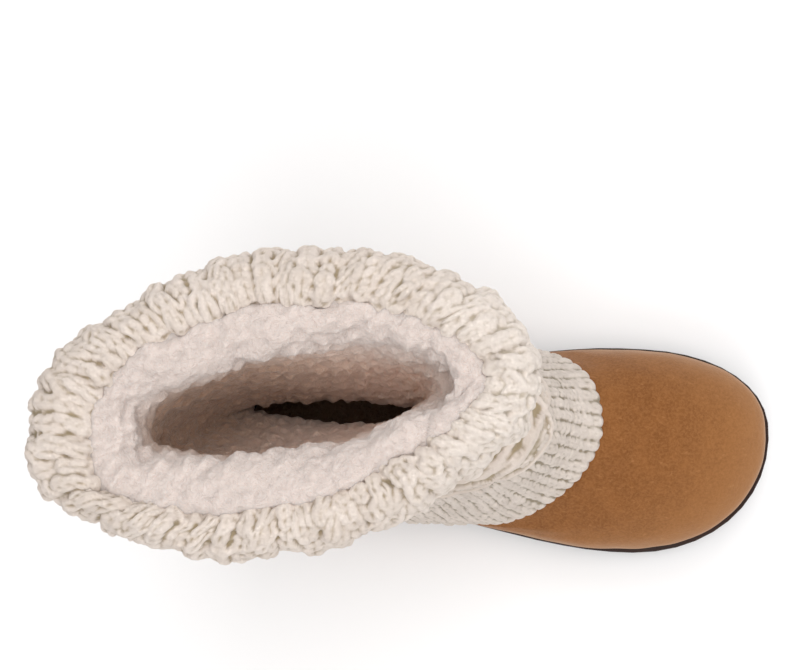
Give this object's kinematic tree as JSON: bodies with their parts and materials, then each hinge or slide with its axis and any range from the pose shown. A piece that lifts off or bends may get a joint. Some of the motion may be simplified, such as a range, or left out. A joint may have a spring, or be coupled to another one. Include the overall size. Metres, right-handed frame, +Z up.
{
  "type": "slipper boot",
  "caption": "Soft pull-on slipper boot for the right foot: suede foot, thick knitted shaft with a turned-down cuff, fleece lining and a ridged rubber sole.",
  "frame": {"origin": "on the floor, under the middle of the heel", "axes": "+X from the heel to the toe, +Y to the inner (big-toe) side, +Z up"},
  "size_m": [0.3139, 0.124, 0.227],
  "materials": {
    "rubber": "dark brown moulded rubber, satin",
    "suede": "tan suede with a soft short nap",
    "fleece": "cream curly fleece",
    "knit": "ivory chunky knitted yarn, matt"
  },
  "bodies": {
    "root": {"outsole": "rubber", "upper": "suede", "insole": "fleece", "lining": "fleece", "shaft": "knit", "cuff": "knit"}
  },
  "joints": []
}
